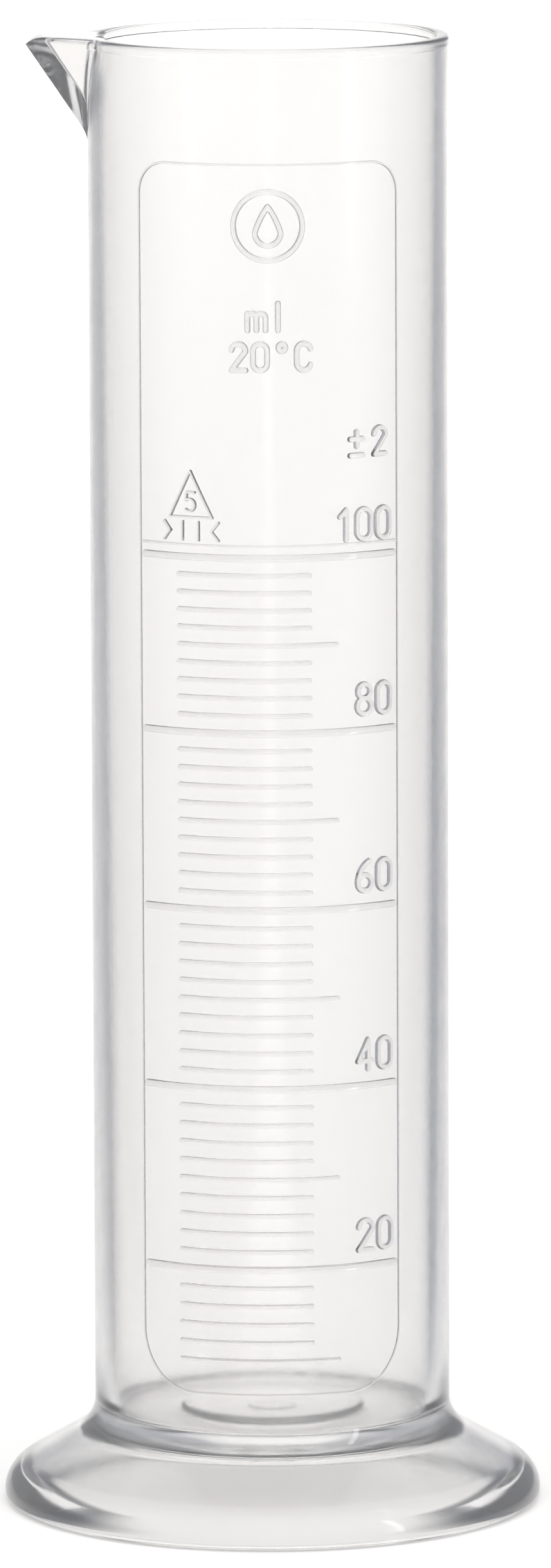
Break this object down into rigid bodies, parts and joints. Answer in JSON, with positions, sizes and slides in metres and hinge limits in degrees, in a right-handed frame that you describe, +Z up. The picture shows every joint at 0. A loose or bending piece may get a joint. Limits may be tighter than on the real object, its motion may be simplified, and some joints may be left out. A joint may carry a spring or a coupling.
{
  "type": "graduated cylinder",
  "caption": "Low-form translucent plastic measuring cylinder with raised scale, V-shaped pouring spout and hollow round foot.",
  "frame": {"origin": "middle of the foot's flat resting ring", "axes": "+Z up along the tube's axis, -Y towards the viewer on the side that carries the scale, -X towards the pouring spout"},
  "size_m": [0.06, 0.06, 0.1644],
  "materials": {
    "natural_polypropylene": "natural translucent injection-moulded polypropylene, smooth and slightly waxy, raised scale in the same material"
  },
  "bodies": {
    "root": {"tube_wall": "natural_polypropylene", "rim_bead": "natural_polypropylene", "pouring_spout": "natural_polypropylene", "base_collar": "natural_polypropylene", "tube_floor": "natural_polypropylene", "foot_skirt": "natural_polypropylene", "foot_lip": "natural_polypropylene", "floor_disc": "natural_polypropylene", "gate_mark": "natural_polypropylene", "chevron_mark": "natural_polypropylene", "figures_020_ml": "natural_polypropylene", "figures_040_ml": "natural_polypropylene", "figures_060_ml": "natural_polypropylene", "figures_080_ml": "natural_polypropylene", "figures_100_ml": "natural_polypropylene", "fine_lines_010_ml": "natural_polypropylene", "fine_lines_020_ml": "natural_polypropylene", "fine_lines_030_ml": "natural_polypropylene", "fine_lines_040_ml": "natural_polypropylene", "fine_lines_050_ml": "natural_polypropylene", "fine_lines_060_ml": "natural_polypropylene", "fine_lines_070_ml": "natural_polypropylene", "fine_lines_080_ml": "natural_polypropylene", "fine_lines_090_ml": "natural_polypropylene", "line_010_ml": "natural_polypropylene", "line_020_ml": "natural_polypropylene", "line_030_ml": "natural_polypropylene", "line_040_ml": "natural_polypropylene", "line_050_ml": "natural_polypropylene", "line_060_ml": "natural_polypropylene", "line_070_ml": "natural_polypropylene", "line_080_ml": "natural_polypropylene", "line_090_ml": "natural_polypropylene", "line_100_ml": "natural_polypropylene", "panel_line": "natural_polypropylene", "resin_mark": "natural_polypropylene", "round_emblem": "natural_polypropylene", "split_line": "natural_polypropylene", "temperature_mark": "natural_polypropylene", "tolerance_mark": "natural_polypropylene", "unit_mark": "natural_polypropylene"}
  },
  "joints": []
}
